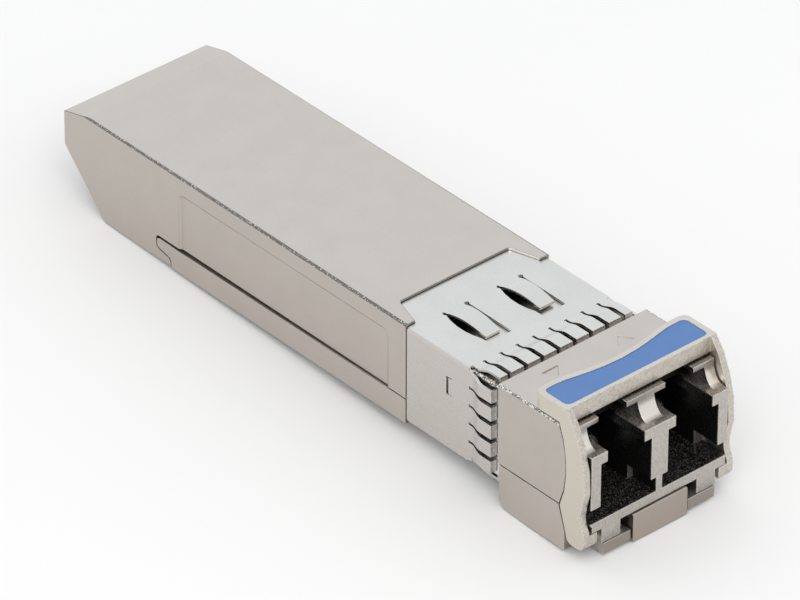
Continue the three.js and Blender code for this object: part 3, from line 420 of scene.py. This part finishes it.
def bail_metal(name, color, roughness):
    """Warm satin plate with finely pitted front faces, painted shade on the sides, and rims with wear and
    painted glints.
    """
    s = Surface(name, color, roughness, 1.0)
    across, along, _ = s.axes(s.own_normal)
    forward = s.ramp(along, -0.35, -0.75)
    shaded_side = s.ramp(s.size(across), 0.55, 0.85)
    plate = s.shades(s.spread(s.noise(2.2, 3.0)), color, 0.98, 1.02)
    # Painted shade on the sides.
    plate = s.mix(shaded_side, plate, tinted(color, BAIL_SIDE_SHADE))
    pits = s.noise(0.17, 4.0, 0.65)
    rubbed = s.mix(s.ramp(pits, 0.36, 0.62), tinted(color, PIT_TINT), tinted(color, RUBBED_TINT))
    plate = s.mix(forward, plate, rubbed)
    # Worn rims with painted glints, mostly on the front.
    edge = s.edges(0.12, 0.15)
    grit = s.noise(0.09, 2.0, 0.6)
    wear_and_glints = s.shades(s.ramp(grit, 0.38, 0.56), color, 0.5, 1.5)
    most_in_front = s.either(0.55, s.ramp(along, -0.05, -0.3))
    s.drive("Base Color", s.mix(s.product(edge, most_in_front), plate, wear_and_glints))
    s.drive("Roughness", s.math("SUBTRACT", roughness, s.product(forward, 0.12)))
    grain = s.noise(0.05, 3.0, 0.6)
    height = s.total(s.product(grain, 0.5), s.product(edge, grit, 3.0), s.product(forward, pits, 3.5))
    s.drive("Normal", s.bump(height, 0.004, s.rounded(0.08)))
    return s.material


# ---------------------------------------------------------------- plain finishes
def machined_metal(name, color, roughness):
    """Turned or plated metal with fine tool lines that run across the module's length."""
    s = Surface(name, color, roughness, 1.0)
    lines = s.noise(0.05, 2.0, 0.5, s.stretched((0.2, 2.0, 0.2)))
    s.drive("Base Color", s.shades(s.spread(s.noise(1.2, 2.0)), color, 0.93, 1.05))
    s.drive("Roughness", s.spread(lines, roughness * 0.8, roughness * 1.25))
    s.drive("Normal", s.bump(lines, 0.0015, s.rounded(0.03)))
    return s.material


def moulded(name, color, roughness, grain=0.06, depth=0.003, coat=0.0, tint=0.06):
    """Moulded, printed or fired stuff: an even colour with a fine grain."""
    s = Surface(name, color, roughness)
    fine = s.noise(grain, 3.0, 0.6)
    s.drive("Base Color", s.shades(s.spread(s.noise(1.5, 3.0)), color, 1 - tint, 1 + tint))
    s.drive("Roughness", s.spread(fine, roughness * 0.88, min(1.0, roughness * 1.12)))
    s.drive("Normal", s.bump(fine, depth, s.rounded(0.04)))
    s.shader.inputs["Coat Weight"].default_value = coat
    return s.material


cast = cast_metal("cast_nickel", (0.60, 0.565, 0.53), 0.36)
port_block = receptacle_metal("receptacle_nickel", (0.50, 0.465, 0.43), 0.30)
sheet = sheet_metal("spring_sheet", (0.70, 0.70, 0.685), 0.30)
bail_plate = bail_metal("bail_nickel", (0.68, 0.65, 0.60), 0.46)
lever_plate = cast_metal("lever_nickel", (0.52, 0.49, 0.455), 0.38, front_shade=(0.84, 0.78, 0.755))
blue = moulded("blue_insert", (0.085, 0.19, 0.436), 0.55, grain=0.07, depth=0.004, tint=0.03)
steel = machined_metal("steel", (0.60, 0.60, 0.61), 0.28)
spring_steel = machined_metal("spring_steel", (0.42, 0.42, 0.43), 0.32)
gold = machined_metal("gold_plate", (0.86, 0.62, 0.24), 0.24)
zirconia = moulded("ceramic", (0.86, 0.83, 0.77), 0.18, depth=0.0005, coat=0.5)
amber = moulded("flex_amber", (0.50, 0.20, 0.03), 0.35, coat=0.4)
solder_mask = moulded("board_green", (0.012, 0.10, 0.048), 0.42, grain=0.15, coat=0.35)
package = moulded("chip_black", (0.014, 0.014, 0.015), 0.5)
tan = moulded("capacitor_tan", (0.40, 0.27, 0.14), 0.45)
pad = moulded("pad_grey", (0.27, 0.30, 0.36), 0.8, grain=0.1, depth=0.006)
absorber = moulded("absorber_black", (0.020, 0.020, 0.022), 0.8, grain=0.1, depth=0.006)
retainer = moulded("retainer_black", (0.018, 0.018, 0.020), 0.55)

# ---------------------------------------------------------------- the CAD pieces
# Which finish each CAD piece takes, and how wide its edges are broken, in millimetres.
FINISHES = {
    "top_housing": (cast, 0.03),
    "bottom_housing": (cast, 0.03),
    "lc_receptacle": (port_block, 0.05),
    "emi_collar": (sheet, 0.0),
    "bail_lever": (bail_plate, 0.07),
    "bail_inlay": (blue, 0.0),
    "bail_cam_shaft": (steel, 0.03),
    "latch_lever": (lever_plate, 0.06),
    "latch_pivot_pin": (steel, 0.04),
    "osa_retainer": (retainer, 0.06),
    "circuit_board": (solder_mask, 0.04),
    "thermal_pad": (pad, 0.06),
    "absorber_sheet": (absorber, 0.04),
    "inductor_transmit": (package, 0.06),
    "inductor_receive": (package, 0.06),
    "ic_laser_driver": (package, 0.03),
    "ic_receive_amplifier": (package, 0.03),
    "ic_microcontroller": (package, 0.03),
}
for end in ("tosa", "rosa"):
    FINISHES[f"{end}_barrel"] = (steel, 0.03)
    FINISHES[f"{end}_sleeve"] = (zirconia, 0.03)
    FINISHES[f"{end}_can"] = (gold, 0.04)
    FINISHES[f"{end}_flex"] = (amber, 0.0)
for node in CONTACTS:
    FINISHES[node] = (gold, 0.01)
for node in CAPACITORS:
    FINISHES[node] = (tan, 0.04)

# Corners closer than this are one corner, faces flatter than this are one face, and edges sharper
# than the crease are broken and stay sharp.
SAME_PLACE = 1e-7
SAME_FACE = math.radians(0.6)
CREASE = math.radians(34)


def finish_piece(piece, material, edge_mm):
    """Joins the mesh's split corners, merges its flat triangles, breaks its edges, smooths its curves."""
    piece.data.materials.clear()
    piece.data.materials.append(material)
    weld = piece.modifiers.new("weld", "WELD")
    weld.merge_threshold = SAME_PLACE
    flat = piece.modifiers.new("flat", "DECIMATE")
    flat.decimate_type = "DISSOLVE"
    flat.angle_limit = SAME_FACE
    if edge_mm:
        bevel = piece.modifiers.new("edge", "BEVEL")
        bevel.width = edge_mm * MM
        bevel.segments = 2
        bevel.limit_method = "ANGLE"
        bevel.angle_limit = CREASE
        bevel.use_clamp_overlap = True
    for face in piece.data.polygons:
        face.use_smooth = True
    smooth_by_angle(piece)
    even = piece.modifiers.new("even", "WEIGHTED_NORMAL")
    even.keep_sharp = True
    even.weight = 80


def smooth_by_angle(piece):
    made = piece.modifiers.new("creases", "NODES")
    made.node_group = bpy.data.node_groups.get("creases") or crease_group()


def crease_group():
    """Geometry nodes that keep edges over the crease angle sharp and smooth the rest."""
    group = bpy.data.node_groups.new("creases", "GeometryNodeTree")
    group.interface.new_socket("Geometry", in_out="INPUT", socket_type="NodeSocketGeometry")
    group.interface.new_socket("Geometry", in_out="OUTPUT", socket_type="NodeSocketGeometry")
    nodes, links = group.nodes, group.links
    start, end = nodes.new("NodeGroupInput"), nodes.new("NodeGroupOutput")
    angle = nodes.new("GeometryNodeInputMeshEdgeAngle")
    sharp = nodes.new("FunctionNodeCompare")
    sharp.operation = "GREATER_THAN"
    sharp.inputs["B"].default_value = CREASE
    smooth_faces = nodes.new("GeometryNodeSetShadeSmooth")
    sharp_edges = nodes.new("GeometryNodeSetShadeSmooth")
    sharp_edges.domain = "EDGE"
    sharp_edges.inputs["Shade Smooth"].default_value = False
    links.new(angle.outputs["Unsigned Angle"], sharp.inputs["A"])
    links.new(start.outputs[0], smooth_faces.inputs["Geometry"])
    links.new(smooth_faces.outputs[0], sharp_edges.inputs["Geometry"])
    links.new(sharp.outputs["Result"], sharp_edges.inputs["Selection"])
    links.new(sharp_edges.outputs[0], end.inputs[0])
    return group


for node, (material, edge_mm) in FINISHES.items():
    finish_piece(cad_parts[node], material, edge_mm)

# ---------------------------------------------------------------- the latch's leaf spring
# The leaf is cut into this many strips along its length.
LEAF_CUTS = 16


def bending_leaf():
    """The latch's leaf spring: the CAD piece remade in spring steel and cut into strips along its length,
    with the CAD piece hidden.
    """
    low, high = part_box("latch_spring")
    leaf = bmesh.new()
    leaf.from_mesh(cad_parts["latch_spring"].data)
    bmesh.ops.remove_doubles(leaf, verts=leaf.verts, dist=SAME_PLACE)
    for step in range(1, LEAF_CUTS):
        everything = [*leaf.verts, *leaf.edges, *leaf.faces]
        place = low.lerp(high, step / LEAF_CUTS)
        bmesh.ops.bisect_plane(leaf, geom=everything, plane_co=place, plane_no=(0, 1, 0))
    mesh = bpy.data.meshes.new("leaf_spring")
    leaf.to_mesh(mesh)
    leaf.free()
    mesh.materials.append(spring_steel)
    for face in mesh.polygons:
        face.use_smooth = True
    piece = bpy.data.objects.new("leaf_spring", mesh)
    bpy.context.scene.collection.objects.link(piece)
    smooth_by_angle(piece)
    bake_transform(piece)
    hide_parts("latch_spring")


bending_leaf()

# ---------------------------------------------------------------- floor and light
REST_TILT = math.radians(2.17)
FLOOR_HALF = 1.6
FLOOR_GAP = 0.02 * MM
PAPER = (0.86, 0.86, 0.86)
PAPER_DIM, PAPER_BRIGHT = (0.845, 0.84, 0.832), (0.86, 0.855, 0.847)
PAPER_CLOUD_MM = 40.0

SKY_COLOR, SKY_STRENGTH = (0.97, 0.985, 1.0), 1.0
KEY_OFFSET = Vector((-0.25, -0.30, 0.45))
KEY_SIDE, KEY_POWER, KEY_COLOR = 0.35, 0.9, (1.0, 0.98, 0.95)


def floor_sheet():
    """A pale sheet under the module, tilted so that its latch plate and its rear skirts both touch."""
    s = Surface("floor_paper", PAPER, 0.85)
    s.drive("Base Color", s.mix(s.spread(s.noise(PAPER_CLOUD_MM, 3.0)), PAPER_DIM, PAPER_BRIGHT))
    corners = [(FLOOR_HALF * x, FLOOR_HALF * y, 0) for x, y in ((-1, -1), (1, -1), (1, 1), (-1, 1))]
    mesh = bpy.data.meshes.new("floor")
    mesh.from_pydata(corners, [], [(0, 1, 2, 3)])
    floor = bpy.data.objects.new("floor", mesh)
    bpy.context.scene.collection.objects.link(floor)
    mesh.materials.append(s.material)
    contact = Vector((0, cad_low.y, cad_low.z - FLOOR_GAP))
    floor.matrix_world = Matrix.Translation(contact) @ Matrix.Rotation(REST_TILT, 4, "X")


def sky():
    world = bpy.data.worlds.new("studio")
    bpy.context.scene.world = world
    world.use_nodes = True
    background = world.node_tree.nodes["Background"]
    background.inputs["Color"].default_value = (*SKY_COLOR, 1)
    background.inputs["Strength"].default_value = SKY_STRENGTH


def key_light():
    """A square lamp up over the camera, aimed at the middle of the module."""
    data = bpy.data.lights.new("key", "AREA")
    data.shape = "RECTANGLE"
    data.size = data.size_y = KEY_SIDE
    data.energy = KEY_POWER
    data.color = KEY_COLOR
    lamp = bpy.data.objects.new("key", data)
    bpy.context.scene.collection.objects.link(lamp)
    lamp.location = (cad_low + cad_high) / 2 + KEY_OFFSET
    lamp.rotation_mode = "QUATERNION"
    lamp.rotation_quaternion = (-KEY_OFFSET).to_track_quat("-Z", "Y")


# ---------------------------------------------------------------- camera
VIEW_AZIMUTH, VIEW_ELEVATION, VIEW_ROLL = (math.radians(a) for a in (-41.274, 34.498, 0.144))
VIEW_DISTANCE = 554.758 * MM
LENS = 347.17
TARGET = Vector((0.0, 6.0, 5.875)) * MM
SLIDE_RIGHT, SLIDE_UP = 4.632 * MM, -3.657 * MM


def photo_camera():
    """A camera at the photograph's angle and distance, slid sideways so the module stands where it does."""
    a, e, r = VIEW_AZIMUTH, VIEW_ELEVATION, VIEW_ROLL
    flat_right = Vector((math.cos(a), math.sin(a), 0))
    back = Vector((math.sin(a) * math.cos(e), -math.cos(a) * math.cos(e), math.sin(e)))
    flat_up = back.cross(flat_right)
    right = math.cos(r) * flat_right + math.sin(r) * flat_up
    up = math.cos(r) * flat_up - math.sin(r) * flat_right
    data = bpy.data.cameras.new("camera")
    data.sensor_width = 36.0
    data.lens = LENS
    data.clip_start = 0.01
    data.clip_end = 10.0
    camera = bpy.data.objects.new("camera", data)
    bpy.context.scene.collection.objects.link(camera)
    turn = Matrix((right, up, back)).transposed().to_4x4()
    place = TARGET + back * VIEW_DISTANCE + right * SLIDE_RIGHT + up * SLIDE_UP
    camera.matrix_world = Matrix.Translation(place) @ turn
    bpy.context.scene.camera = camera


floor_sheet()
sky()
key_light()
photo_camera()
bpy.context.scene.view_settings.view_transform = "Standard"
